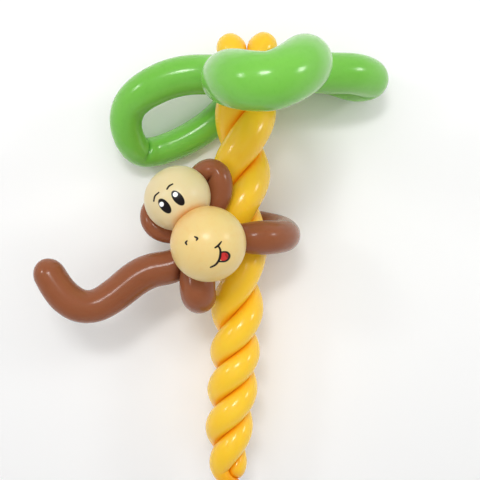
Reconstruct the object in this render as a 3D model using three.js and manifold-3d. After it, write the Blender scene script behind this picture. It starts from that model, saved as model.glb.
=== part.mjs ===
import * as THREE from 'three';
import { mergeVertices } from 'three/addons/utils/BufferGeometryUtils.js';
import Module from 'manifold-3d';

// Balloon sculpture of a monkey hugging a palm tree, lying on its back.  Millimetres.
// X runs across the fronds, Y up the trunk, Z up from the floor to the monkey's face.
// Routes are measured from a point on the trunk between the monkey's arms.

// ---- driving dimensions ----
const SIDES = 12;            // facets round a modelling balloon
const SHOULDER_STEPS = 3;    // rings in the rounded end of a bubble
const SHOULDER_REACH = 1.15; // length of a rounded end, in balloon radii
const NECK_RADIUS = 3.2;     // a twist, wrung tight
const NECK_REACH = 6;        // straight stretch on each side of a twist
const NECK_HALF = 2.5;       // half the length of the tight part of a twist
const KNOT_LENGTH = 11;      // knotted nozzle beyond the end of a bubble
const SKIN_GAP = 1.6;        // clearance between two balloons pressed together
const CUT_GAP = 0.3;         // clearance left where a neighbour's facets are cut away
const FLOOR_DEPTH = 90.5;    // floor below the trunk's axis
const BEAD_STEP = 4;         // spacing of the spheres that stand for a balloon when it presses another

const YELLOW = 0xe8be3e;
const GREEN = 0x78c658;
const BROWN = 0x91583c;
const BLUSH = 0xe6cd91;

// ---- routes of the modelling balloons ----
// The trunk's turns: height, angle of the right strand, the axis across, strand's distance from it.
const TRUNK_TURNS = [
  [228, -60, 10, 13],
  [192, 0, 8.5, 18.5],
  [140, 90, 4, 18.5],
  [50, 270, -0.5, 17.5],
  [-64, 450, -2.5, 17.5],
  [-138, 630, -6, 15.5],
  [-194, 810, -9, 16],
  [-252, 990, -14, 16.5],
  [-310, 1170, -18, 12.5],
  [-338, 1255, -17.5, 9.5],
];
const TRUNK_STEPS = 4;       // points on a strand's route from one turn to the next
const TRUNK_GIRTH = [26, 27.5, 27, 25.5, 25, 24, 22.5, 22, 21.5, 20.5, 17];

function strandRoute(firstAngle) {
  const turns = new THREE.CatmullRomCurve3(
    TRUNK_TURNS.map(([height, angle, across]) => new THREE.Vector3(across, height, angle)));
  const spreads = new THREE.CatmullRomCurve3(
    TRUNK_TURNS.map(([, , , spread], turn) => new THREE.Vector3(turn, spread, 0)));
  const count = (TRUNK_TURNS.length - 1) * TRUNK_STEPS;
  const route = [];
  for (let step = 0; step <= count; step += 1) {
    const { x: across, y: height, z: angle } = turns.getPoint(step / count);
    const spread = spreads.getPoint(step / count).y;
    const phase = THREE.MathUtils.degToRad(angle + firstAngle);
    route.push([across + spread * Math.cos(phase), height, spread * Math.sin(phase)]);
  }
  return route;
}

const BALLOONS = [
  {
    name: 'trunk_strand_right', colour: YELLOW, ringStep: 11.6, start: 'round', end: 'knot',
    bubbles: [
      { girth: [23, 23], route: [[39, 313, -6], [34, 290, -6], [15, 255, 0]] },
      { girth: TRUNK_GIRTH, route: [...strandRoute(0), [-13, -360, 2], [-10, -380, 3]] },
    ],
  },
  {
    name: 'trunk_strand_left', colour: YELLOW, ringStep: 11.6, start: 'round', end: 'knot',
    bubbles: [
      { girth: [23, 23], route: [[-19, 311, -6], [-13, 288, -6], [6, 255, 0]] },
      { girth: TRUNK_GIRTH, route: [...strandRoute(180), [-23, -360, -2], [-26, -378, -3]] },
    ],
  },
  {
    name: 'side_fronds', colour: GREEN, ringStep: 19, start: 'knot', end: 'round',
    bubbles: [
      {
        girth: [28, 29.5, 29.5, 29.5, 28.5, 26.5, 26, 25],
        route: [[22, 266, -26], [25, 257, -17], [50, 249, 6], [90, 245.5, 22], [135, 245, 20],
          [174, 247, 6], [199, 246, -24], [184, 248.5, -56], [146, 260.5, -66.5], [90, 262, -56],
          [48, 257, -34], [15, 254, -19]],
      },
      {
        girth: [27, 28.5, 28.5, 27.5, 25, 23.5, 23.5, 24, 24.5, 25.5, 25],
        route: [[-20, 248, 0], [-50, 244, 16], [-76, 242, 20], [-104, 236, 20], [-128, 226, 18],
          [-148, 215, 13], [-165, 200, 3], [-173, 178, -10], [-169, 153, -30], [-157, 140, -52],
          [-136, 142, -67], [-110, 150.5, -68], [-82, 163.5, -68], [-42, 190.5, -68], [-10, 222, -58],
          [5, 250, -20]],
      },
    ],
  },
  {
    name: 'front_frond', colour: GREEN, ringStep: 19, start: 'knot', end: 'round',
    bubbles: [
      {
        girth: [26, 28, 30, 32, 33.5, 32.5, 33.5, 33, 30, 28, 26],
        route: [[2, 264, 26], [4, 255, 20], [-8, 236, 48], [-17, 219, 95], [-18, 204, 150],
          [-13, 194, 195], [-4, 185, 225], [12, 177.5, 245], [34, 176, 251], [59, 189, 239],
          [74, 205.5, 213], [77, 215, 180], [69, 220, 138], [50, 227, 90], [28, 240, 46], [15, 252, 19]],
      },
    ],
  },
  {
    name: 'monkey_body', colour: BROWN, ringStep: 16.5, start: 'knot', end: 'round',
    bubbles: [
      {
        girth: [24, 25.2, 23],
        route: [[-57, -87, 14], [-57, -86, 25], [-58, -82, 47], [-59.5, -72, 60], [-60, -57, 58],
          [-60, -42, 54.5], [-54, 6, 44]],
      },
      {
        girth: [13, 15, 15.6, 16.8, 16.6, 13],
        route: [[-60, 38, 24], [-66, 68, 20], [-62, 88.5, 30], [-51, 97.5, 42], [-40.5, 99.5, 50],
          [-30.5, 93.6, 53], [-27, 81, 52], [-28, 66, 50], [-36, 49, 47], [-60, 16, 48]],
      },
      {
        girth: [12, 14, 14.3, 14.3, 14, 12],
        route: [[-80, 36, 24], [-100, 52, 16], [-119, 55, 24], [-128, 44, 36], [-129, 29, 43],
          [-119, 15, 46], [-103, 9, 45], [-84, 8, 42], [-64, 6, 41]],
      },
      {
        girth: [13, 16, 23.5, 23.5, 23.5, 23.5, 23.5, 23.5, 23.5, 22, 20],
        route: [[-42, 4, 45], [-22, 3, 50], [0, 3, 59], [18, 3, 65], [40, 3.5, 58], [59, 5, 36],
          [66.5, 8, 5], [60, 15, -32], [42, 20.5, -56], [15, 25, -68], [-14, 23, -68], [-42, 17, -55],
          [-63, 11, -32], [-71, 6, -4], [-70, 1, 22], [-56, -3, 38]],
      },
      {
        girth: [22, 23.6, 24.8, 25.2, 24.4, 23.4, 23.4, 22.4, 21],
        route: [[-78, -27, 36], [-98, -38, 38], [-129, -44.5, 40], [-149.5, -55.2, 43], [-178, -78.1, 50],
          [-202.3, -92.3, 56.5], [-223.5, -92.7, 62], [-242.9, -80.7, 66], [-254.3, -67, 67],
          [-265, -49.5, 67], [-277.9, -28.2, 66]],
      },
    ],
  },
];

// ---- the two round balloons: centre, where the knot points, radii across and along the knot's line ----
const ROUND_BALLOONS = [
  { name: 'head', colour: BLUSH, centre: [-86.4, 58, 75], knot: [-62, 18, 50], across: 46.8, along: 43.5 },
  { name: 'muzzle', colour: BLUSH, centre: [-42, -5.2, 112], knot: [-58, 10, 46], across: 50.4, along: 50 },
];
const ROUND_SIDES = 18;
const ROUND_STEPS = 10;

const toVector = ([x, y, z]) => new THREE.Vector3(x, y, z);

// A straight stretch is kept on each side of every twist, so that the corner sits in the thin neck.
function curveOf(balloon) {
  const points = [];
  const bubbleEnds = [];
  balloon.bubbles.forEach(({ route }, order) => {
    const own = route.map(toVector);
    if (order > 0) {
      const twist = points[points.length - 1];
      points.push(twist.clone().lerp(own[0], NECK_REACH / twist.distanceTo(own[0])));
    }
    points.push(...own);
    if (order < balloon.bubbles.length - 1) {
      const twist = points.pop();
      const before = points[points.length - 1];
      points.push(twist.clone().lerp(before, NECK_REACH / twist.distanceTo(before)), twist);
    }
    bubbleEnds.push(points.length - 1);
  });
  const curve = new THREE.CatmullRomCurve3(points);
  curve.arcLengthDivisions = (points.length - 1) * 40;
  const lengths = curve.getLengths();
  return { curve, total: curve.getLength(), ends: bubbleEnds.map((end) => lengths[end * 40]) };
}

// Radii that are given evenly spread from one end of a bubble to the other.
function girthAt(girth, part) {
  const place = Math.min(Math.max(part, 0), 1) * (girth.length - 1);
  const low = Math.min(Math.floor(place), girth.length - 2);
  return THREE.MathUtils.lerp(girth[low], girth[low + 1], place - low);
}

// Rings of one bubble as [distance along the balloon, radius]: rounded ends and a plain middle.
function bubbleRings(from, to, girth, startKind, endKind, ringStep) {
  const inset = { round: 0, twist: NECK_HALF, knot: KNOT_LENGTH };
  const first = from + inset[startKind];
  const last = to - inset[endKind];
  const radiusAt = (along) => girthAt(girth, (along - first) / (last - first));
  const startReach = Math.min(SHOULDER_REACH * girth[0], (last - first) / 2);
  const endReach = Math.min(SHOULDER_REACH * girth[girth.length - 1], (last - first) / 2);
  const rings = [];
  const startTight = startKind === 'round' ? 0 : NECK_RADIUS;
  const endTight = endKind === 'round' ? 0 : NECK_RADIUS;
  for (let step = 0; step < SHOULDER_STEPS; step += 1) {
    const turn = (step / SHOULDER_STEPS) * Math.PI / 2;
    const along = first + startReach * (1 - Math.cos(turn));
    rings.push([along, startTight + (radiusAt(along) - startTight) * Math.sin(turn)]);
  }
  const plain = last - first - startReach - endReach;
  const plainSteps = Math.max(1, Math.round(plain / ringStep));
  for (let step = 0; step <= plainSteps; step += 1) {
    const along = first + startReach + plain * (step / plainSteps);
    rings.push([along, radiusAt(along)]);
  }
  for (let step = SHOULDER_STEPS - 1; step >= 0; step -= 1) {
    const turn = (step / SHOULDER_STEPS) * Math.PI / 2;
    const along = last - endReach * (1 - Math.cos(turn));
    rings.push([along, endTight + (radiusAt(along) - endTight) * Math.sin(turn)]);
  }
  return rings;
}

// The knotted nozzle: a rolled lip, a bead and the tight stem, as [distance from the tip, radius].
const KNOT_RINGS = [[0, 0], [0.2, 5], [2, 5.2], [4, 3.4], [7, 5.4], [9.4, 4]];

function ringsOf(balloon, ends, total) {
  const rings = [];
  const count = balloon.bubbles.length;
  balloon.bubbles.forEach(({ girth }, order) => {
    const startKind = order === 0 ? balloon.start : 'twist';
    const endKind = order === count - 1 ? balloon.end : 'twist';
    const from = order === 0 ? 0 : ends[order - 1];
    if (startKind === 'knot') rings.push(...KNOT_RINGS);
    rings.push(...bubbleRings(from, ends[order], girth, startKind, endKind, balloon.ringStep));
    if (endKind === 'knot') rings.push(...KNOT_RINGS.map(([d, r]) => [total - d, r]).reverse());
  });
  return rings;
}

// Frames along the curve that never spin about it.
function framesAlong(curve, total, distances) {
  let across = new THREE.Vector3(0, 0, 1);
  return distances.map((along) => {
    const part = Math.min(Math.max(along / total, 0), 1);
    const tangent = curve.getTangentAt(part);
    across = across.clone().addScaledVector(tangent, -across.dot(tangent)).normalize();
    const side = new THREE.Vector3().crossVectors(across, tangent);
    return { centre: curve.getPointAt(part), across, side };
  });
}

// Spheres along a balloon: what its neighbours are pressed by.
function beadsOf(balloon, curve, total, ends, rings) {
  const beads = [];
  for (let along = 0; along <= total; along += BEAD_STEP) {
    const next = rings.findIndex(([distance]) => distance >= along);
    const high = rings[Math.max(next, 1)];
    const low = rings[Math.max(next, 1) - 1];
    const part = (along - low[0]) / Math.max(high[0] - low[0], 1e-6);
    const radius = THREE.MathUtils.lerp(low[1], high[1], part);
    const bubble = ends.findIndex((end) => along <= end + 1e-6);
    beads.push({ centre: curve.getPointAt(along / total), radius, along, bubble, owner: balloon.name });
  }
  return beads.filter((bead) => bead.radius > NECK_RADIUS * 1.5);
}

// Where two balloons meet, each skin stops at the plane on which their spheres cross.
function pressed(point, centre, mayTouch, swell) {
  const out = point.clone().sub(centre);
  const radius = out.length();
  if (radius < NECK_RADIUS * 0.5) return point;
  const gap = new THREE.Vector3();
  let keep = 1;
  for (const bead of allBeads) {
    if (!mayTouch(bead)) continue;
    gap.copy(bead.centre).sub(centre);
    const facing = out.dot(gap) / radius;
    if (facing <= 0.05 * gap.length()) continue;
    const plane = (gap.lengthSq() + radius * radius - bead.radius * bead.radius) / (2 * radius * facing);
    const clearance = (SKIN_GAP / 2 - swell) * gap.length() / (facing * radius);
    keep = Math.min(keep, plane - clearance);
  }
  return centre.clone().addScaledVector(out, Math.max(keep, NECK_RADIUS * 0.5 / radius));
}

// A turned solid's triangles without the flat ones that a lathe leaves at its poles.
function closedGeometry(geometry) {
  geometry.deleteAttribute('normal');
  geometry.deleteAttribute('uv');
  const merged = mergeVertices(geometry, 1e-3);
  const index = [];
  for (let corner = 0; corner < merged.index.count; corner += 3) {
    const [a, b, c] = [0, 1, 2].map((step) => merged.index.getX(corner + step));
    if (a !== b && b !== c && c !== a) index.push(a, b, c);
  }
  merged.setIndex(index);
  return merged;
}

const wasm = await Module();
wasm.setup();

function toSolid(geometry) {
  const closed = closedGeometry(geometry);
  return new wasm.Manifold(new wasm.Mesh({
    numProp: 3,
    vertProperties: new Float32Array(closed.attributes.position.array),
    triVerts: new Uint32Array(closed.index.array),
  }));
}

function toMesh(solid, name, colour) {
  const { vertProperties, triVerts } = solid.getMesh();
  const geometry = new THREE.BufferGeometry();
  geometry.setAttribute('position', new THREE.BufferAttribute(new Float32Array(vertProperties), 3));
  geometry.setIndex(new THREE.BufferAttribute(new Uint32Array(triVerts), 1));
  geometry.computeVertexNormals();
  const material = new THREE.MeshStandardMaterial({ color: colour, roughness: 0.25, metalness: 0 });
  const mesh = new THREE.Mesh(geometry, material);
  mesh.name = name;
  return mesh;
}

// The floor flattens a small spot under each balloon that rests on it.
const FLOOR_SLAB = 200;
const floorGeometry = new THREE.BoxGeometry(2000, 2000, FLOOR_SLAB);
floorGeometry.translate(0, 0, -FLOOR_DEPTH - FLOOR_SLAB / 2);
const floorSolid = toSolid(floorGeometry);

// ---- build ----
const laidOut = BALLOONS.map((balloon) => {
  const { curve, total, ends } = curveOf(balloon);
  const rings = ringsOf(balloon, ends, total);
  return { balloon, curve, total, ends, rings, beads: beadsOf(balloon, curve, total, ends, rings) };
});
const roundBeads = ROUND_BALLOONS.map(({ name, centre, across, along }) => (
  { centre: toVector(centre), radius: (2 * across + along) / 3, owner: name, bubble: 0, along: 0 }));
const allBeads = [...laidOut.flatMap(({ beads }) => beads), ...roundBeads];

function modellingBalloon({ balloon, curve, total, ends, rings }, swell) {
  const profile = rings.map(([along, radius]) => new THREE.Vector2(radius > 0 ? radius + swell : 0, along));
  const straight = new THREE.LatheGeometry(profile, SIDES);
  const frames = framesAlong(curve, total, rings.map(([along]) => along));
  const place = straight.attributes.position;
  for (let vertex = 0; vertex < place.count; vertex += 1) {
    const ring = vertex % rings.length;
    const [along, radius] = rings[ring];
    const { centre, across, side } = frames[ring];
    const point = centre.clone()
      .addScaledVector(across, place.getX(vertex))
      .addScaledVector(side, place.getZ(vertex));
    const bubble = ends.findIndex((end) => along <= end + 1e-6);
    const far = 2.4 * Math.max(...balloon.bubbles[bubble].girth);
    const mayTouch = (bead) => bead.owner !== balloon.name
      || (bead.bubble === bubble ? Math.abs(bead.along - along) > far
        : Math.abs(bead.along - along) > 2 * NECK_REACH);
    const settled = radius > 0 ? pressed(point, centre, mayTouch, swell) : point;
    place.setXYZ(vertex, settled.x, settled.y, settled.z);
  }
  return toSolid(straight);
}

function roundBalloon({ name, centre, knot, across, along }, swell) {
  const middle = toVector(centre);
  const towardsKnot = toVector(knot).sub(middle).normalize();
  const profile = [];
  for (let step = 0; step < ROUND_STEPS; step += 1) {
    const turn = (step / ROUND_STEPS) * Math.PI;
    profile.push(new THREE.Vector2((across + swell) * Math.sin(turn), -(along + swell) * Math.cos(turn)));
  }
  profile.push(new THREE.Vector2(NECK_RADIUS + swell, along + 1));
  profile.push(new THREE.Vector2(NECK_RADIUS + swell, along + 4 + swell));
  profile.push(new THREE.Vector2(0, along + 4 + swell));
  const geometry = new THREE.LatheGeometry(profile, ROUND_SIDES);
  const lean = new THREE.Quaternion().setFromUnitVectors(new THREE.Vector3(0, 1, 0), towardsKnot);
  geometry.applyQuaternion(lean);
  geometry.translate(...centre);
  const place = geometry.attributes.position;
  for (let vertex = 0; vertex < place.count; vertex += 1) {
    const point = new THREE.Vector3().fromBufferAttribute(place, vertex);
    const settled = pressed(point, middle, (bead) => bead.owner !== name, swell);
    place.setXYZ(vertex, settled.x, settled.y, settled.z);
  }
  return toSolid(geometry);
}

// Facets of pressed neighbours still cross a little, so each balloon is cut clear of those before it.
const sculpture = new THREE.Group();
const swollen = [];
function addBalloon({ name, colour }, make) {
  let solid = make(0);
  swollen.forEach((neighbour) => { solid = solid.subtract(neighbour); });
  sculpture.add(toMesh(solid.subtract(floorSolid), name, colour));
  swollen.push(make(CUT_GAP));
}
laidOut.forEach((entry) => addBalloon(entry.balloon, (swell) => modellingBalloon(entry, swell)));
ROUND_BALLOONS.forEach((entry) => addBalloon(entry, (swell) => roundBalloon(entry, swell)));

// The origin is on the floor, under the middle of the whole sculpture.
const extent = new THREE.Box3().setFromObject(sculpture);
const middle = extent.getCenter(new THREE.Vector3());
sculpture.position.set(-middle.x, -middle.y, -extent.min.z);
sculpture.updateMatrixWorld(true);

export default sculpture;
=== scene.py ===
import math

import bpy
import numpy as np
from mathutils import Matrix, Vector


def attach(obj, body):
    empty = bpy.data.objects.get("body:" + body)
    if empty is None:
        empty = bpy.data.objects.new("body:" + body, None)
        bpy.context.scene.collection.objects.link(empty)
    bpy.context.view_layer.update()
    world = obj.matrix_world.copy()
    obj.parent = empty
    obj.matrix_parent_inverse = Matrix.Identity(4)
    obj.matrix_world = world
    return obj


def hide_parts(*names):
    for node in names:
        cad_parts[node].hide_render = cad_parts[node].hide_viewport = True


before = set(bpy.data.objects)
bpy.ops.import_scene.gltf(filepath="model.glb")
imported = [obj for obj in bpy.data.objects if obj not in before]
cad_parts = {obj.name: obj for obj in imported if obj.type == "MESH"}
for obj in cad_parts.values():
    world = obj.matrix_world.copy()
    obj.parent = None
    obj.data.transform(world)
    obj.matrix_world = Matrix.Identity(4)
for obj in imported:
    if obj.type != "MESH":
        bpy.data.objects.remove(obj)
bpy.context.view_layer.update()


# ------------------------------------------------------------------ palm trunk
# Two long yellow modelling balloons, twisted round each other into a rope.  A short bubble
# at the top of each holds the fronds, and the knotted nozzles are at the foot.
# Blown latex, glossy; a painted shade turns it deeper orange where the two strands press together.

HUG_POINT = np.array([0.030631, 0.033779, 0.0905])   # metres: the trunk's axis, between the arms
SIDES = 64              # points round a balloon
RING_STEP = 2.5         # millimetres between rings, as all routes and radii below
SHOULDER_STEPS = 14     # rings in the rounded end of a bubble
SHOULDER_REACH = 1.15   # length of a rounded end, in balloon radii
NECK_RADIUS = 3.2       # a twist, wrung tight
NECK_REACH = 6          # straight stretch on each side of a twist
INSET = {"round": 0, "twist": 2.5, "knot": 11}   # from a bubble's end to where it swells
LINE_STEPS = 40         # steps along a route from one of its points to the next
EASING = 50             # rounds of smoothing along a balloon
PLEATS = 11             # folds of gathered skin round a twist
PLEAT_DEPTH = 0.1       # of the radius, at the twist
PLEAT_REACH = 7         # how far the gathers run into the bubble
FOLD_ROOM = 0.9         # how near the inside of a bend comes to the bend's own centre
# Painted shade: within this reach of a like balloon the colour is turned towards the latex's deep
# colour, as shade in the crease.
CREASE_SHADE_REACH = 15       # millimetres from a like balloon within which the colour deepens
KINK_FROM = 0.73        # a bend this tight, in balloon radii, has a crease across its inside
KINK_APART = 1.5        # balloon radii between a crease and the next, or a twist
KINK_DEPTH = 0.42       # of the radius, at the middle of the crease
KINK_WIDTH = 3.5        # millimetres over which it dies away
KINK_WRAP = 0.6         # how far it runs round towards the outside of the bend
OWN_REACH = 2.4         # radii along a bubble within which it doesn't press itself

# The nozzle in profile: rolled lip, knot and stem, as distance from the tip and radius.
NOZZLE = [[0, 0], [0.1, 3.4], [0.9, 5], [2.2, 5.2], [3.4, 4.1], [4.2, 3.5], [5.4, 4.6],
          [7, 5.4], [8.6, 5], [9.8, 3.9]]

# The trunk's turns: height, angle of the right strand, the axis across, strand's distance from it.
TRUNK_TURNS = [
    [228, -60, 10, 13],
    [192, 0, 8.5, 18.5],
    [140, 90, 4, 18.5],
    [50, 270, -0.5, 17.5],
    [-64, 450, -2.5, 17.5],
    [-138, 630, -6, 15.5],
    [-194, 810, -9, 16],
    [-252, 990, -14, 16.5],
    [-310, 1170, -18, 12.5],
    [-338, 1255, -17.5, 9.5],
]
TRUNK_STEPS = 4
TRUNK_GIRTH = [26, 27.5, 27, 25.5, 25, 24, 22.5, 22, 21.5, 20.5, 17]

balloons = []


def spline(points, per_span):
    """The smooth line through some points, with that many steps from each to the next."""
    points = np.asarray(points, float)
    before_first = 2 * points[0] - points[1]
    after_last = 2 * points[-1] - points[-2]
    held = np.vstack([before_first, points, after_last])
    gaps = np.maximum(np.linalg.norm(np.diff(held, axis=0), axis=1) ** 0.5, 1e-4)
    t = (np.arange(per_span) / per_span)[:, None]
    line = []
    for span in range(len(points) - 1):
        before, start, end, after = held[span:span + 4]
        gap_in, gap, gap_out = gaps[span:span + 3]
        leave = (start - before) / gap_in - (end - before) / (gap_in + gap) + (end - start) / gap
        reach = (end - start) / gap - (after - start) / (gap + gap_out) + (after - end) / gap_out
        line.append(start * (1 + 2 * t) * (1 - t) ** 2 + leave * gap * t * (1 - t) ** 2
                    + end * t * t * (3 - 2 * t) - reach * gap * t * t * (1 - t))
    line.append(points[-1:])
    return np.vstack(line)


def centre_line(bubbles):
    """A balloon's centre line at every millimetre, and how far along it each bubble ends."""
    points = []
    corners = []
    for order, (_, route) in enumerate(bubbles):
        own = [np.array(point, float) for point in route]
        if order > 0:
            ahead = own[0] - points[-1]
            points.append(points[-1] + ahead * NECK_REACH / np.linalg.norm(ahead))
        points += own
        if order < len(bubbles) - 1:
            back = points[-2] - points[-1]
            points.insert(-1, points[-1] + back * NECK_REACH / np.linalg.norm(back))
        corners.append(len(points) - 1)
    line = spline(points, LINE_STEPS)
    walked = np.concatenate([[0], np.cumsum(np.linalg.norm(np.diff(line, axis=0), axis=1))])
    ends = [walked[corner * LINE_STEPS] for corner in corners]
    steps = np.linspace(0, walked[-1], int(walked[-1]) + 1)
    line = np.column_stack([np.interp(steps, walked, line[:, axis]) for axis in range(3)])
    to_twist = np.abs(steps[:, None] - np.array([0, *ends])).min(axis=1)
    free = (to_twist > NECK_REACH)[1:-1, None]
    for _ in range(EASING):
        line[1:-1] += free * (line[:-2] - 2 * line[1:-1] + line[2:]) / 4
    return steps, line, ends


def bubble_profile(first, last, girth, start, end):
    """One bubble as distances along the balloon and radii: rounded ends, plain middle."""
    first += INSET[start]
    last -= INSET[end]
    half = (last - first) / 2
    start_reach = min(SHOULDER_REACH * girth[0], half)
    end_reach = min(SHOULDER_REACH * girth[-1], half)
    turn = np.linspace(0, math.pi / 2, SHOULDER_STEPS, endpoint=False)
    plain = last - end_reach - first - start_reach
    middle = np.linspace(first + start_reach, last - end_reach, 2 + int(plain / RING_STEP))
    along = np.concatenate([first + start_reach * (1 - np.cos(turn)), middle,
                            (last - end_reach * (1 - np.cos(turn)))[::-1]])
    rise = np.concatenate([np.sin(turn), np.ones(len(middle)), np.sin(turn)[::-1]])
    outline = spline(np.column_stack([np.linspace(first, last, len(girth)), girth]), 8)
    full = np.interp(along, outline[:, 0], outline[:, 1])
    tight = np.full(len(along), float(NECK_RADIUS))
    if start == "round":
        tight[:len(along) // 2] = 0
    if end == "round":
        tight[len(along) // 2:] = 0
    return along, tight + (full - tight) * rise


def sew(name, rings, poles):
    """A closed skin over rings of points in order, with one point at each end."""
    count, sides = rings.shape[:2]
    points = np.vstack([rings.reshape(-1, 3), poles])
    faces = []
    for side in range(sides):
        beside = (side + 1) % sides
        faces.append((count * sides, beside, side))
        for ring in range(0, (count - 1) * sides, sides):
            faces.append((ring + side, ring + beside,
                          ring + sides + beside, ring + sides + side))
        last = (count - 1) * sides
        faces.append((count * sides + 1, last + side, last + beside))
    mesh = bpy.data.meshes.new(name)
    mesh.from_pydata((points / 1000 + HUG_POINT).tolist(), [], faces)
    mesh.shade_smooth()
    return mesh


def add_skin(name, finish, slot, centres, out, poles, **facts):
    """Puts a balloon's skin in the scene, and keeps what the pressing needs to know of it."""
    mesh = sew(name, centres[:, None] + out, poles)
    mesh.materials.append(finish)
    piece = bpy.data.objects.new(name + "_skin", mesh)
    bpy.context.collection.objects.link(piece)
    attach(piece, "root")
    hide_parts(name)
    balloons.append(dict(piece=piece, slot=slot, centres=centres, out=out, poles=poles, **facts))


def kinks(along, radius, bend, to_twist):
    """How much each ring shares in a crease: one lies across the inside of each tight bend."""
    sharpness = np.linalg.norm(bend, axis=1) * radius
    crease = np.zeros(len(along))
    for ring in np.flatnonzero((sharpness > KINK_FROM) & (to_twist > KINK_APART * radius)):
        beside = np.abs(along - along[ring]) < KINK_APART * radius[ring]
        if sharpness[ring] == sharpness[beside].max():
            crease += np.exp(-np.abs(along - along[ring]) / KINK_WIDTH)
    return np.minimum(crease, 1)


def modelling_balloon(name, finish, slot, bubbles, start, end, creased=()):
    """A long balloon twisted into bubbles, each its radii and route; some bubbles are creased."""
    steps, line, ends = centre_line(bubbles)
    total = steps[-1]
    stem = spline(NOZZLE, 3)
    along, radius, bubble = [], [], []
    kinds = [start] + ["twist"] * (len(bubbles) - 1) + [end]
    starts = [0] + ends[:-1]
    for order, (girth, _) in enumerate(bubbles):
        place, size = bubble_profile(starts[order], ends[order], girth,
                                     kinds[order], kinds[order + 1])
        if kinds[order] == "knot":
            place = np.concatenate([stem[:, 0], place])
            size = np.concatenate([stem[:, 1], size])
        if kinds[order + 1] == "knot":
            place = np.concatenate([place, total - stem[::-1, 0]])
            size = np.concatenate([size, stem[::-1, 1]])
        along.append(place)
        radius.append(size)
        bubble.append(np.full(len(place), order))
    along, radius, bubble = map(np.concatenate, (along, radius, bubble))

    centres = np.column_stack([np.interp(along, steps, line[:, axis]) for axis in range(3)])
    slope = np.gradient(line, axis=0)
    tangents = np.column_stack([np.interp(along, steps, slope[:, axis]) for axis in range(3)])
    tangents /= np.linalg.norm(tangents, axis=1)[:, None]
    curving = np.gradient(slope / np.linalg.norm(slope, axis=1)[:, None], steps, axis=0)
    bend = np.column_stack([np.interp(along, steps, curving[:, axis]) for axis in range(3)])
    turn = np.arange(SIDES) * 2 * math.pi / SIDES
    twists = [where for where, kind in zip([0, *ends], kinds) if kind != "round"]
    to_twist = np.abs(along[:, None] - np.array(twists)).min(axis=1)
    gather = np.exp(-np.maximum(to_twist - NECK_REACH / 2, 0) / PLEAT_REACH)
    across = np.array([0.0, 0.0, 1.0])
    out = np.zeros((len(along), SIDES, 3))
    for ring, tangent in enumerate(tangents):
        across = across - tangent * across.dot(tangent)
        across /= np.linalg.norm(across)
        side = np.cross(tangent, across)
        folds = 1 + PLEAT_DEPTH * gather[ring] * np.cos(PLEATS * turn)
        out[ring] = radius[ring] * folds[:, None] * (
            np.cos(turn)[:, None] * across + np.sin(turn)[:, None] * side)
    kink = kinks(along, radius, bend, to_twist) * np.isin(bubble, creased)
    inside = np.einsum("rsk,rk->rs", out, bend)
    inside /= np.maximum(radius * np.linalg.norm(bend, axis=1), 1e-6)[:, None]
    pinch = kink[:, None] * np.clip((inside + KINK_WRAP) / (1 + KINK_WRAP), 0, 1)
    out *= (1 - KINK_DEPTH * pinch)[:, :, None]
    inward = np.einsum("rsk,rk->rs", out, bend)
    add_skin(name, finish, slot, centres[1:-1], out[1:-1], centres[[0, -1]], pinch=pinch[1:-1],
             fold=FOLD_ROOM / np.maximum(inward[1:-1], 1e-3),
             along=along[1:-1], radius=radius[1:-1], bubble=bubble[1:-1], gather=gather[1:-1],
             far=[OWN_REACH * max(girth) for girth, _ in bubbles], crease=CREASE_SHADE_REACH)


class Shade:
    """A socket in a material's node tree, so that shader maths reads as sums."""

    def __init__(self, tree, socket=None):
        self.tree = tree
        self.socket = socket

    def node(self, kind, settings=None, sockets=None, out=0):
        """Any node: its settings are set first, then the values or links of its sockets."""
        made = self.tree.nodes.new("ShaderNode" + kind)
        for name, value in (settings or {}).items():
            setattr(made, name, value)
        for name, value in (sockets or {}).items():
            if isinstance(value, Shade):
                self.tree.links.new(value.socket, made.inputs[name])
            else:
                made.inputs[name].default_value = value
        return Shade(self.tree, made.outputs[out])

    def sum(self, operation, first, second, clamp=False):
        return self.node("Math", {"operation": operation, "use_clamp": clamp},
                         {0: first, 1: second})

    def __add__(self, other):
        return self.sum("ADD", self, other)

    def __radd__(self, other):
        return self.sum("ADD", other, self)

    def __sub__(self, other):
        return self.sum("SUBTRACT", self, other)

    def __rsub__(self, other):
        return self.sum("SUBTRACT", other, self)

    def __mul__(self, other):
        return self.sum("MULTIPLY", self, other)

    def __rmul__(self, other):
        return self.sum("MULTIPLY", other, self)

    def __truediv__(self, other):
        return self.sum("DIVIDE", self, other)

    def __rtruediv__(self, other):
        return self.sum("DIVIDE", other, self)

    def __pow__(self, other):
        return self.sum("POWER", self, other)

    def clamped(self):
        return self.sum("ADD", self, 0, clamp=True)

    def tinted(self, other, mask):
        """This colour, with another laid over it where the mask is 1."""
        return self.node("Mix", {"data_type": "RGBA"}, {0: mask, 6: self, 7: other}, out=2)


def linear(red, green, blue):
    """A colour as a display shows it, from 0 to 255, as the shader's own numbers."""
    return tuple(((part / 255 + 0.055) / 1.055) ** 2.4 for part in (red, green, blue)) + (1,)


CLOUD_SCALE = 11.0      # noise cells to a metre: slow changes of colour and swell
MOTTLE_SCALE = 160.0    # blotches a few millimetres across
GRAIN_SCALE = 1400.0    # the fine grain of the skin
CLOUD_SWELL = 40        # height of the swells beside the grain's
GRAIN_HEIGHT = 0.00002  # metres
DEPTH_OF_GLOW = 0.008   # metres that light spreads inside the skin


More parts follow.
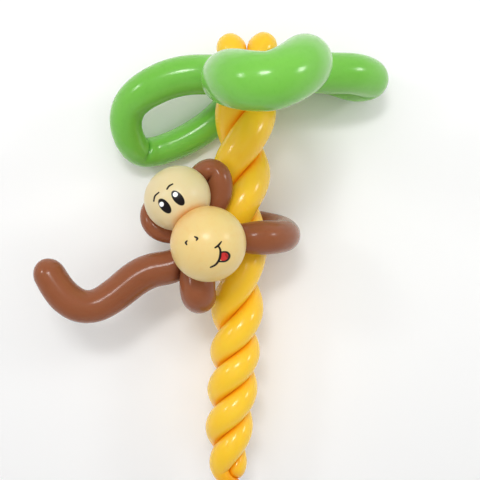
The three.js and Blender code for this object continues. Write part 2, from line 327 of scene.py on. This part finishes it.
def latex(name, skin, deep, thin, glow, through=0.06, dull=0.17, shine=0.38, coat=0.25,
          drawn=None):
    """Blown latex: painted shade deepens it in creases against a like balloon; deeper where gathered,
    paler where thin; a painted glow lightens it a little as if lit through.
    """
    material = bpy.data.materials.new(name)
    material.use_nodes = True
    tree = material.node_tree
    shader = tree.nodes["Principled BSDF"]
    paint = Shade(tree)
    place = paint.node("TexCoord", out="Object")
    crease_shade = paint.node("Attribute", {"attribute_name": "crease_shade"}, out="Fac")
    gather = paint.node("Attribute", {"attribute_name": "gather"}, out="Fac")
    cloud = paint.node("TexNoise", sockets={"Vector": place, "Scale": CLOUD_SCALE, "Detail": 2.0})
    mottle = paint.node("TexNoise", sockets={"Vector": place, "Scale": MOTTLE_SCALE, "Detail": 3.0})
    grain = paint.node("TexNoise", sockets={"Vector": place, "Scale": GRAIN_SCALE, "Detail": 2.0})

    plain = paint.node("Mix", {"data_type": "RGBA"},
                       {0: (cloud * 1.6 - 0.45).clamped(), 6: skin, 7: thin}, out=2)
    # Painted shade: the colour turns towards the deep colour in the creases against a like balloon
    # (the crease shade attribute); near a twist the gathered, less stretched latex is deeper in its
    # own right.
    shaded_and_gathered = plain.tinted(deep, (crease_shade * (0.75 + 0.25 * cloud) + 0.7 * gather).clamped())
    colour = shaded_and_gathered.tinted(deep, ((mottle - 0.5) * 0.35).clamped())
    rough = dull + 0.05 * cloud + 0.04 * mottle + 0.12 * gather
    if drawn:
        for mask, tint, matt in drawn(paint, place):
            colour = colour.tinted(tint, mask)
            rough = rough + matt * mask
    height = 0.6 * grain + 0.4 * mottle + CLOUD_SWELL * cloud
    bump = paint.node("Bump", sockets={"Strength": 1.0, "Distance": GRAIN_HEIGHT, "Height": height})
    tree.links.new(colour.socket, shader.inputs["Base Color"])
    # Painted glow: the surface emits its own colour, at the strength given as through, so its shade
    # looks lit through.
    tree.links.new(colour.socket, shader.inputs["Emission Color"])
    tree.links.new(rough.socket, shader.inputs["Roughness"])
    tree.links.new(bump.socket, shader.inputs["Normal"])
    shader.inputs["Specular IOR Level"].default_value = shine
    shader.inputs["Emission Strength"].default_value = through
    shader.inputs["Coat Weight"].default_value = coat
    shader.inputs["Coat Roughness"].default_value = dull
    shader.inputs["Subsurface Weight"].default_value = 0.2
    shader.inputs["Subsurface Radius"].default_value = glow
    shader.inputs["Subsurface Scale"].default_value = DEPTH_OF_GLOW
    return material


def strand_route(first_angle):
    """One strand's way down the trunk, on the side of the axis that the angle gives."""
    heights = spline([[across, height, angle] for height, angle, across, _ in TRUNK_TURNS],
                     TRUNK_STEPS)
    spreads = spline([[turn, spread, 0] for turn, (*_, spread) in enumerate(TRUNK_TURNS)],
                     TRUNK_STEPS)
    phase = np.radians(heights[:, 2] + first_angle)
    spread = spreads[:, 1]
    return np.column_stack([heights[:, 0] + spread * np.cos(phase), heights[:, 1],
                            spread * np.sin(phase)]).tolist()


# The yellow carries the strongest painted glow (through) and a deep orange for its painted crease
# shade.
yellow = latex("yellow latex", skin=linear(238, 188, 34), deep=linear(230, 148, 4),
               thin=linear(240, 198, 58), glow=(1.0, 0.55, 0.12), through=0.12)
modelling_balloon("trunk_strand_right", yellow, "yellow_latex", [
    ([23, 23], [[39, 313, -6], [34, 290, -6], [15, 255, 0]]),
    (TRUNK_GIRTH, [*strand_route(0), [-13, -360, 2], [-10, -380, 3]]),
], start="round", end="knot")
modelling_balloon("trunk_strand_left", yellow, "yellow_latex", [
    ([23, 23], [[-19, 311, -6], [-13, 288, -6], [6, 255, 0]]),
    (TRUNK_GIRTH, [*strand_route(180), [-23, -360, -2], [-26, -378, -3]]),
], start="round", end="knot")


# ------------------------------------------------------------------ palm fronds
# Two green modelling balloons: one is twisted into a flat loop to each side, the other
# is one loop that stands out towards the viewer and folds over like a broad leaf.
# They are wrung between the short yellow bubbles at the top of the trunk.

green = latex("green latex", skin=linear(112, 184, 66), deep=linear(52, 140, 30),
              thin=linear(126, 196, 84), glow=(0.5, 1.0, 0.3))
modelling_balloon("side_fronds", green, "green_latex", [
    ([28, 29.5, 29.5, 29.5, 28.5, 26.5, 26, 25],
     [[22, 266, -26], [25, 257, -17], [50, 249, 6], [90, 245.5, 22], [135, 245, 20], [174, 247, 6],
      [199, 246, -24], [184, 248.5, -56], [146, 260.5, -66.5], [90, 262, -56], [48, 257, -34],
      [15, 254, -19]]),
    ([27, 28.5, 28.5, 27.5, 25, 23.5, 23.5, 24, 24.5, 25.5, 25],
     [[-20, 248, 0], [-50, 244, 16], [-76, 242, 20], [-104, 236, 20], [-128, 226, 18],
      [-148, 215, 13], [-165, 200, 3], [-173, 178, -10], [-169, 153, -30], [-157, 140, -52],
      [-136, 142, -67], [-110, 150.5, -68], [-82, 163.5, -68], [-42, 190.5, -68], [-10, 222, -58],
      [5, 250, -20]]),
], start="knot", end="round", creased=(0, 1))
modelling_balloon("front_frond", green, "green_latex", [
    ([26, 28, 30, 32, 33.5, 32.5, 33.5, 33, 30, 28, 26],
     [[2, 264, 26], [4, 255, 20], [-8, 236, 48], [-17, 219, 95], [-18, 204, 150], [-13, 194, 195],
      [-4, 185, 225], [12, 177.5, 245], [34, 176, 251], [59, 189, 239], [74, 205.5, 213],
      [77, 215, 180], [69, 220, 138], [50, 227, 90], [28, 240, 46], [15, 252, 19]]),
], start="knot", end="round")


# ------------------------------------------------------------------ monkey's body
# One brown modelling balloon, twisted into foot, two looped ears, an arm that goes round
# the trunk and comes back, and a long tail that ends in the balloon's own rounded tip.
# The twists all meet behind the muzzle, where its knot ties them.

brown = latex("brown latex", skin=linear(138, 80, 50), deep=linear(88, 36, 18),
              thin=linear(150, 90, 60), glow=(1.0, 0.4, 0.25), shine=0.26, coat=0.1)
modelling_balloon("monkey_body", brown, "brown_latex", [
    ([24, 25.2, 23],
     [[-57, -86, 14], [-57, -85, 25], [-58, -81, 47.5], [-59.5, -72, 61], [-60, -58, 58.5],
      [-60, -43, 54], [-54, 6, 44]]),
    ([13, 15, 15.6, 17.6, 17.2, 13],
     [[-60, 38, 24], [-66, 68, 20], [-62, 88.5, 30], [-51, 97.5, 42], [-40.5, 99, 50],
      [-31.2, 93, 53], [-28, 81, 52], [-28.6, 66, 50], [-36, 49, 47], [-60, 16, 48]]),
    ([12, 14, 14.3, 14.3, 14, 12],
     [[-80, 36, 24], [-100, 52, 16], [-119, 55, 24], [-128, 44, 36], [-129, 29, 43],
      [-119, 15, 46], [-103, 9, 45], [-84, 8, 42], [-64, 6, 41]]),
    ([13, 16, 23.5, 23.5, 23.5, 23.5, 23.5, 23.5, 23.5, 22, 20],
     [[-42, 4, 45], [-22, 3, 50], [0, 3, 59], [18, 3, 65], [40, 3.5, 58], [59, 5, 36],
      [66.5, 8, 5], [60, 15, -32], [42, 20.5, -56], [15, 25, -68], [-14, 23, -68], [-42, 17, -55],
      [-63, 11, -32], [-71, 6, -4], [-70, 1, 22], [-56, -3, 38]]),
    ([22, 23.6, 24.8, 25.2, 24.4, 23.4, 23.4, 22.4, 21],
     [[-78, -27, 36], [-98, -38, 38], [-129, -44.5, 40], [-149.5, -55.2, 43], [-178, -78.1, 50],
      [-202.3, -92.3, 56.5], [-223.5, -92.7, 62], [-242.9, -80.7, 66], [-254.3, -67, 67],
      [-265, -49.5, 67], [-277.9, -28.2, 66]]),
], start="knot", end="round", creased=(1, 2))


# ------------------------------------------------------------------ head and muzzle
# Two small round balloons in a pale blush latex, knotted side by side in front of the body.
# The face is drawn on them with a felt marker: eyes and brows on the head, and nostrils,
# a mouth and a red tongue on the muzzle.

ROUND_SIDES = 96
ROUND_STEPS = 72
ROUND_NECK = np.array([0.8, 2.5, 4])   # rings of the neck, past the balloon's end
ROUND_PLEAT_REACH = 4   # how far the gathers run from the neck
INK = linear(16, 6, 7)
CATCHLIGHT = linear(250, 250, 250)
TONGUE = linear(200, 44, 42)
TONGUE_SHADE = linear(158, 22, 22)
PEN_EDGE = 0.5          # millimetres over which a drawn edge fades
INK_DULL = 0.06         # how much rougher ink is than latex

HEAD_CENTRE = [-86.4, 58, 75]
MUZZLE_CENTRE = [-42, -5.2, 112]


def round_balloon(name, finish, centre, knot, across, along, crease):
    """A round balloon with its knot towards the given point."""
    centre = np.array(centre, float)
    axis = np.array(knot, float) - centre
    axis /= np.linalg.norm(axis)
    right = np.cross(axis, [0.0, 1.0, 0.0])
    right /= np.linalg.norm(right)
    up = np.cross(axis, right)
    turn = np.linspace(0, math.pi, ROUND_STEPS, endpoint=False)[1:]
    neck = along + ROUND_NECK
    along_axis = np.concatenate([-along * np.cos(turn), neck])
    radius = np.concatenate([across * np.sin(turn), [NECK_RADIUS] * len(neck)])
    gather = np.exp(-np.maximum(along - along_axis, 0) / ROUND_PLEAT_REACH)
    angle = np.arange(ROUND_SIDES) * 2 * math.pi / ROUND_SIDES
    folds = 1 + PLEAT_DEPTH * gather[:, None] * np.cos(PLEATS * angle)
    ring = np.cos(angle)[:, None] * right + np.sin(angle)[:, None] * up
    out = (radius[:, None] * folds)[:, :, None] * ring + along_axis[:, None, None] * axis
    poles = np.array([centre - along * axis, centre + neck[-1] * axis])
    rows = len(radius)
    add_skin(name, finish, "blush_latex", np.tile(centre, (rows, 1)), out, poles,
             along=np.zeros(rows), radius=np.full(rows, (2 * across + along) / 3),
             bubble=np.zeros(rows, int), gather=gather, far=[np.inf],
             fold=np.full(out.shape[:2], np.inf), pinch=np.zeros(out.shape[:2]), crease=crease)


class Marker:
    """A felt marker on a round balloon; each shape is a distance to its edge in millimetres."""

    def __init__(self, paint, place, centre):
        start = tuple(HUG_POINT + np.array(centre) / 1000)
        from_centre = paint.node("VectorMath", {"operation": "SUBTRACT"}, {0: place, 1: start})
        flat = paint.node("VectorMath", {"operation": "MULTIPLY"},
                          {0: from_centre, 1: (1000.0, 1000.0, 0.0)})
        self.paint = paint
        self.flat = flat
        self.front = (paint.node("SeparateXYZ", sockets={0: from_centre}, out=2) * 1000).clamped()

    def vector(self, operation, first, second, out=0):
        return self.paint.node("VectorMath", {"operation": operation}, {0: first, 1: second},
                               out=out)

    def dot(self, place, direction):
        return self.vector("DOT_PRODUCT", place, (*direction, 0.0), out="Value")

    def oval(self, centre, lean, long, short):
        """An oval whose long axis leans that many degrees from across."""
        towards = (math.cos(math.radians(lean)), math.sin(math.radians(lean)))
        local = self.vector("SUBTRACT", self.flat, (*centre, 0.0))
        down = self.dot(local, towards) / long
        over = self.dot(local, (-towards[1], towards[0])) / short
        return ((down * down + over * over) ** 0.5 - 1) * short

    def stroke(self, points, widths):
        """A line drawn in one go through some points, with the pen's width at each."""
        traced = spline([[*point, width] for point, width in zip(points, widths)], 3)
        nearest = None
        for start, end in zip(traced[:-1], traced[1:]):
            run = end[:2] - start[:2]
            local = self.vector("SUBTRACT", self.flat, (*start[:2], 0.0))
            part = (self.dot(local, run / run.dot(run))).clamped()
            foot = self.paint.node("VectorMath", {"operation": "SCALE"},
                                   {0: (*run, 0.0), "Scale": part})
            edge = self.vector("DISTANCE", local, foot, out="Value") - (start[2] + end[2]) / 4
            nearest = edge if nearest is None else self.paint.sum("MINIMUM", nearest, edge)
        return nearest

    def laid(self, edge):
        """How much of a shape shows at a point: 1 inside, fading at its edge."""
        return (0.5 - edge / PEN_EDGE).clamped() * self.front


def eyes_and_brows(paint, place):
    pen = Marker(paint, place, HEAD_CENTRE)
    layers = []
    for eye, lean, glint in (([-12.8, -13.2], -50, [-17.0, -10.9]),
                             ([5.0, -2.9], -51, [1.5, 1.6])):
        layers.append((pen.laid(pen.oval(eye, lean, 11.7, 6.3)), INK, INK_DULL))
        layers.append((pen.laid(pen.oval(glint, 0, 3.2, 3.2)), CATCHLIGHT, 0.0))
    for brow in ([[-28.0, -6.2], [-26.4, 0.1], [-20.9, 4.7]],
                 [[-9.6, 9.1], [-7.0, 13.0], [-2.4, 15.7]]):
        layers.append((pen.laid(pen.stroke(brow, [2.3, 2.6, 2.0])), INK, INK_DULL))
    return layers


def nose_and_mouth(paint, place):
    pen = Marker(paint, place, MUZZLE_CENTRE)
    tongue = pen.laid(pen.oval([22.4, -16.0], 0, 6.2, 5.9))
    shade = pen.laid(pen.oval([25.2, -14.8], -60, 3.6, 1.4)) * 0.8
    lip = pen.stroke([[17.2, -10.4], [21.5, -9.7], [25.8, -10.4], [28.6, -14.0], [27.6, -18.4],
                      [23.5, -21.6], [16.4, -22.0]], [1.9, 2.1, 2.5, 2.9, 2.6, 2.3, 2.0])
    tick = pen.stroke([[11.0, -4.4], [14.6, -1.9], [18.6, 3.0]], [2.0, 2.8, 1.7])
    smile = pen.stroke([[14.9, -2.4], [17.2, -6.6], [17.2, -14.5], [15.3, -20.6], [10.9, -26.2],
                        [4.9, -29.2]], [2.0, 2.7, 3.1, 2.9, 2.6, 2.1])
    left_nostril = pen.stroke([[-24.6, 4.1], [-26.3, 1.8], [-24.9, -0.6]], [1.6, 2.8, 1.6])
    right_nostril = pen.stroke([[-14.6, 9.3], [-11.2, 7.2], [-12.5, 5.0]], [1.8, 2.8, 1.7])
    layers = [(tongue, TONGUE, INK_DULL), (shade, TONGUE_SHADE, 0.0)]
    for line in (lip, tick, smile, left_nostril, right_nostril):
        layers.append((pen.laid(line), INK, INK_DULL))
    return layers


blush_head = latex("blush latex, head", skin=linear(220, 199, 146), deep=linear(228, 184, 110),
                   thin=linear(218, 204, 166), glow=(1.0, 0.6, 0.3), dull=0.26, coat=0.1,
                   drawn=eyes_and_brows)
blush_muzzle = latex("blush latex, muzzle", skin=linear(226, 197, 128), deep=linear(230, 148, 40),
                     thin=linear(226, 203, 142), glow=(1.0, 0.6, 0.3), dull=0.26, coat=0.1,
                     drawn=nose_and_mouth)
# crease is how far, in millimetres, painted shade deepens the colour near the other blush balloon: a
# wide orange band on the muzzle, a narrow one on the head.
round_balloon("head", blush_head, HEAD_CENTRE, knot=[-62, 18, 50], across=46.8, along=43.5,
              crease=10)
round_balloon("muzzle", blush_muzzle, MUZZLE_CENTRE, knot=[-58, 10, 46], across=50.4, along=50,
              crease=64)


# ------------------------------------------------------------------ how the balloons press
# Blown balloons flatten where they meet: each skin stops at the plane between the two, with
# a rounded edge, and leaves a narrow crease.  Those that lie on the floor flatten on it too.

SKIN_GAP = 0.5          # millimetres between two skins
EDGE_ROUNDING = 0.14    # of a radius, at the edge of a flattened patch
LEAST_FACING = 0.05     # neighbours further round than this don't press
LEAST_RADIUS = 0.05     # the thinnest that a balloon is pressed, in radii
BEAD_FROM = 1.5         # necks thinner than this, in neck radii, don't press
FLOOR = -1000 * HUG_POINT[2]
SETTLING = 3            # rounds of smoothing of a pressed skin


def beads_of(balloon, owner):
    """Spheres that fill a balloon, touching its skin, one at each ring."""
    if np.isinf(balloon["far"][0]):
        rows = np.array([0])
        sizes = balloon["radius"][:1]
    else:
        rows = np.flatnonzero(balloon["radius"] > BEAD_FROM * NECK_RADIUS)
        same = balloon["bubble"][rows, None] == balloon["bubble"][None, :]
        apart = balloon["along"][rows, None] - balloon["along"][None, :]
        reach = np.hypot(apart, balloon["radius"][None, :])
        sizes = np.where(same, reach, np.inf).min(axis=1)
    return dict(centre=balloon["centres"][rows], size=sizes, along=balloon["along"][rows],
                bubble=balloon["bubble"][rows], owner=np.full(len(rows), owner),
                same_latex=np.full(len(rows), balloon["slot"]))


bead_sets = [beads_of(balloon, owner) for owner, balloon in enumerate(balloons)]
beads = {key: np.concatenate([beads[key] for beads in bead_sets]) for key in bead_sets[0]}


def beside(centre, out, near):
    """For each outward ray: planes to the near beads, in radii, and how far off they are."""
    size = np.linalg.norm(out, axis=1)[:, None]
    gap = beads["centre"][near] - centre
    gap_length = np.linalg.norm(gap, axis=1)[None, :]
    facing = out @ gap.T / size
    ahead = facing > LEAST_FACING * gap_length
    forward = np.where(ahead, facing, 1)
    plane = (gap_length ** 2 + size ** 2 - beads["size"][near] ** 2) / (2 * size * forward)
    plane = plane - SKIN_GAP / 2 * gap_length / (forward * size)
    between = np.sqrt(gap_length ** 2 + size ** 2 - 2 * size * facing) - beads["size"][near]
    return np.where(ahead, plane, np.inf), between


for owner, balloon in enumerate(balloons):
    nearest = np.full(balloon["out"].shape[:2], np.inf)
    between = nearest.copy()
    for row, centre in enumerate(balloon["centres"]):
        apart = np.abs(beads["along"] - balloon["along"][row])
        bubble = balloon["bubble"][row]
        reach = np.where(beads["bubble"] == bubble, balloon["far"][bubble], 2 * NECK_REACH)
        other = (beads["owner"] != owner) | (apart > reach)
        widest = np.linalg.norm(balloon["out"][row], axis=1).max()
        close = np.linalg.norm(beads["centre"] - centre, axis=1) < beads["size"] + 2 * widest + 2
        near = np.flatnonzero(other & close)
        if not len(near):
            continue
        planes, gaps = beside(centre, balloon["out"][row], near)
        nearest[row] = planes.min(axis=1)
        # Distance to the nearest like balloon, kept only for the painted crease shade.
        alike = beads["same_latex"][near] == balloon["slot"]
        between[row] = np.where(alike, gaps, np.inf).min(axis=1)
    down = np.minimum(balloon["out"][:, :, 2], -1e-6)
    to_floor = (FLOOR - balloon["centres"][:, None, 2]) / down
    nearest = np.maximum(np.minimum(nearest, to_floor), LEAST_RADIUS)
    nearest = np.minimum(nearest, balloon["fold"])
    overlap = np.maximum(EDGE_ROUNDING - np.abs(1 - nearest), 0) / EDGE_ROUNDING
    keep = np.minimum(nearest, 1) - overlap ** 2 * EDGE_ROUNDING / 4
    for _ in range(SETTLING):
        keep = (keep + np.roll(keep, 1, axis=1) + np.roll(keep, -1, axis=1)) / 3
        keep[1:-1] = (keep[:-2] + keep[1:-1] + keep[2:]) / 3
    points = balloon["centres"][:, None] + balloon["out"] * keep[:, :, None]
    points = np.vstack([points.reshape(-1, 3), balloon["poles"]])
    # Painted shade: the colour deepens near a like balloon, within the balloon's crease reach, and
    # across the inside of tight bends where the skin is creased; it is stored as the crease shade
    # attribute.
    crease_shade = np.clip(1 - between / balloon["crease"], 0, 1) ** 2
    crease_shade = np.maximum(crease_shade, balloon["pinch"])
    gather = np.repeat(balloon["gather"], balloon["out"].shape[1])
    mesh = balloon["piece"].data
    mesh.vertices.foreach_set("co", (points / 1000 + HUG_POINT).ravel())
    for name, values in (("crease_shade", crease_shade.ravel()), ("gather", gather)):
        layer = mesh.attributes.new(name, "FLOAT", "POINT")
        values = np.concatenate([values, values[[0, -1]]])
        layer.data.foreach_set("value", values.astype(np.float32))
    mesh.update()


# ------------------------------------------------------------------ studio
# The sculpture lies on a plain pale floor and is seen from straight above.  Three soft boxes,
# one beside the camera and one to each side of it, and a broad light over the whole.

FLOOR_HALF = 4.0        # metres from the middle of the floor to its sides
FLOOR_LEVEL = -0.0005   # just under the balloons that rest on it
floor_mesh = bpy.data.meshes.new("floor")
floor_mesh.from_pydata([(x * FLOOR_HALF, y * FLOOR_HALF, FLOOR_LEVEL)
                        for x, y in ((-1, -1), (1, -1), (1, 1), (-1, 1))], [], [(0, 1, 2, 3)])
floor_finish = bpy.data.materials.new("pale floor")
floor_finish.use_nodes = True
floor_paint = Shade(floor_finish.node_tree)
floor_cloud = floor_paint.node("TexNoise", sockets={
    "Vector": floor_paint.node("TexCoord", out="Object"), "Scale": 3.0, "Detail": 2.0})
floor_shade = floor_paint.node("Mix", {"data_type": "RGBA"}, {
    0: floor_cloud, 6: (0.95, 0.95, 0.95, 1), 7: (0.97, 0.97, 0.97, 1)}, out=2)
floor_shader = floor_finish.node_tree.nodes["Principled BSDF"]
floor_finish.node_tree.links.new(floor_shade.socket, floor_shader.inputs["Base Color"])
floor_shader.inputs["Roughness"].default_value = 0.9
floor_shader.inputs["Specular IOR Level"].default_value = 0.1
floor_mesh.materials.append(floor_finish)
floor = bpy.data.objects.new("floor", floor_mesh)
bpy.context.collection.objects.link(floor)


def soft_box(name, bearing, lift, distance, width, height, power, mirrored=True):
    """An area light aimed at the trunk: bearing to the camera's right, lift to the fronds."""
    bearing, lift = math.radians(bearing), math.radians(lift)
    direction = np.array([math.sin(bearing) * math.cos(lift), math.sin(lift),
                          math.cos(bearing) * math.cos(lift)])
    lamp = bpy.data.lights.new(name, "AREA")
    lamp.shape = "RECTANGLE"
    lamp.size = width
    lamp.size_y = height
    lamp.energy = power
    light = bpy.data.objects.new(name, lamp)
    light.location = HUG_POINT + direction * distance
    light.rotation_euler = Vector(direction).to_track_quat("Z", "Y").to_euler()
    light.visible_glossy = mirrored
    bpy.context.collection.objects.link(light)


soft_box("soft box beside the camera", bearing=-5, lift=21, distance=2.0,
         width=0.5, height=0.26, power=10)
soft_box("soft box to the right", bearing=57, lift=18, distance=2.0,
         width=0.32, height=0.32, power=5)
soft_box("soft box to the left", bearing=-46, lift=16, distance=2.0,
         width=0.32, height=0.26, power=4)
soft_box("broad light over the camera", bearing=0, lift=9, distance=2.2,
         width=2.8, height=2.6, power=31, mirrored=False)

# White walls all round and a darker ceiling, so that only the edges of a balloon look milky.
WALL_LIGHT = 0.85
CEILING_LIGHT = 0.2
world = bpy.data.worlds.new("white walls")
bpy.context.scene.world = world
world.use_nodes = True
air = Shade(world.node_tree)
height = air.node("SeparateXYZ", sockets={0: air.node("TexCoord", out="Generated")}, out=2)
wall = (1 - height).clamped()
glow = CEILING_LIGHT + (WALL_LIGHT - CEILING_LIGHT) * (wall * wall)
background = world.node_tree.nodes["Background"]
world.node_tree.links.new(glow.socket, background.inputs["Strength"])
background.inputs["Color"].default_value = (1, 1, 1, 1)

CAMERA_HEIGHT = 0.960   # metres above the trunk's axis
camera_data = bpy.data.cameras.new("camera")
camera_data.lens = 48
camera_data.sensor_width = 36
camera = bpy.data.objects.new("camera", camera_data)
camera.location = HUG_POINT + [0, 0, CAMERA_HEIGHT]
bpy.context.collection.objects.link(camera)
bpy.context.scene.camera = camera
bpy.context.scene.view_settings.view_transform = "Standard"
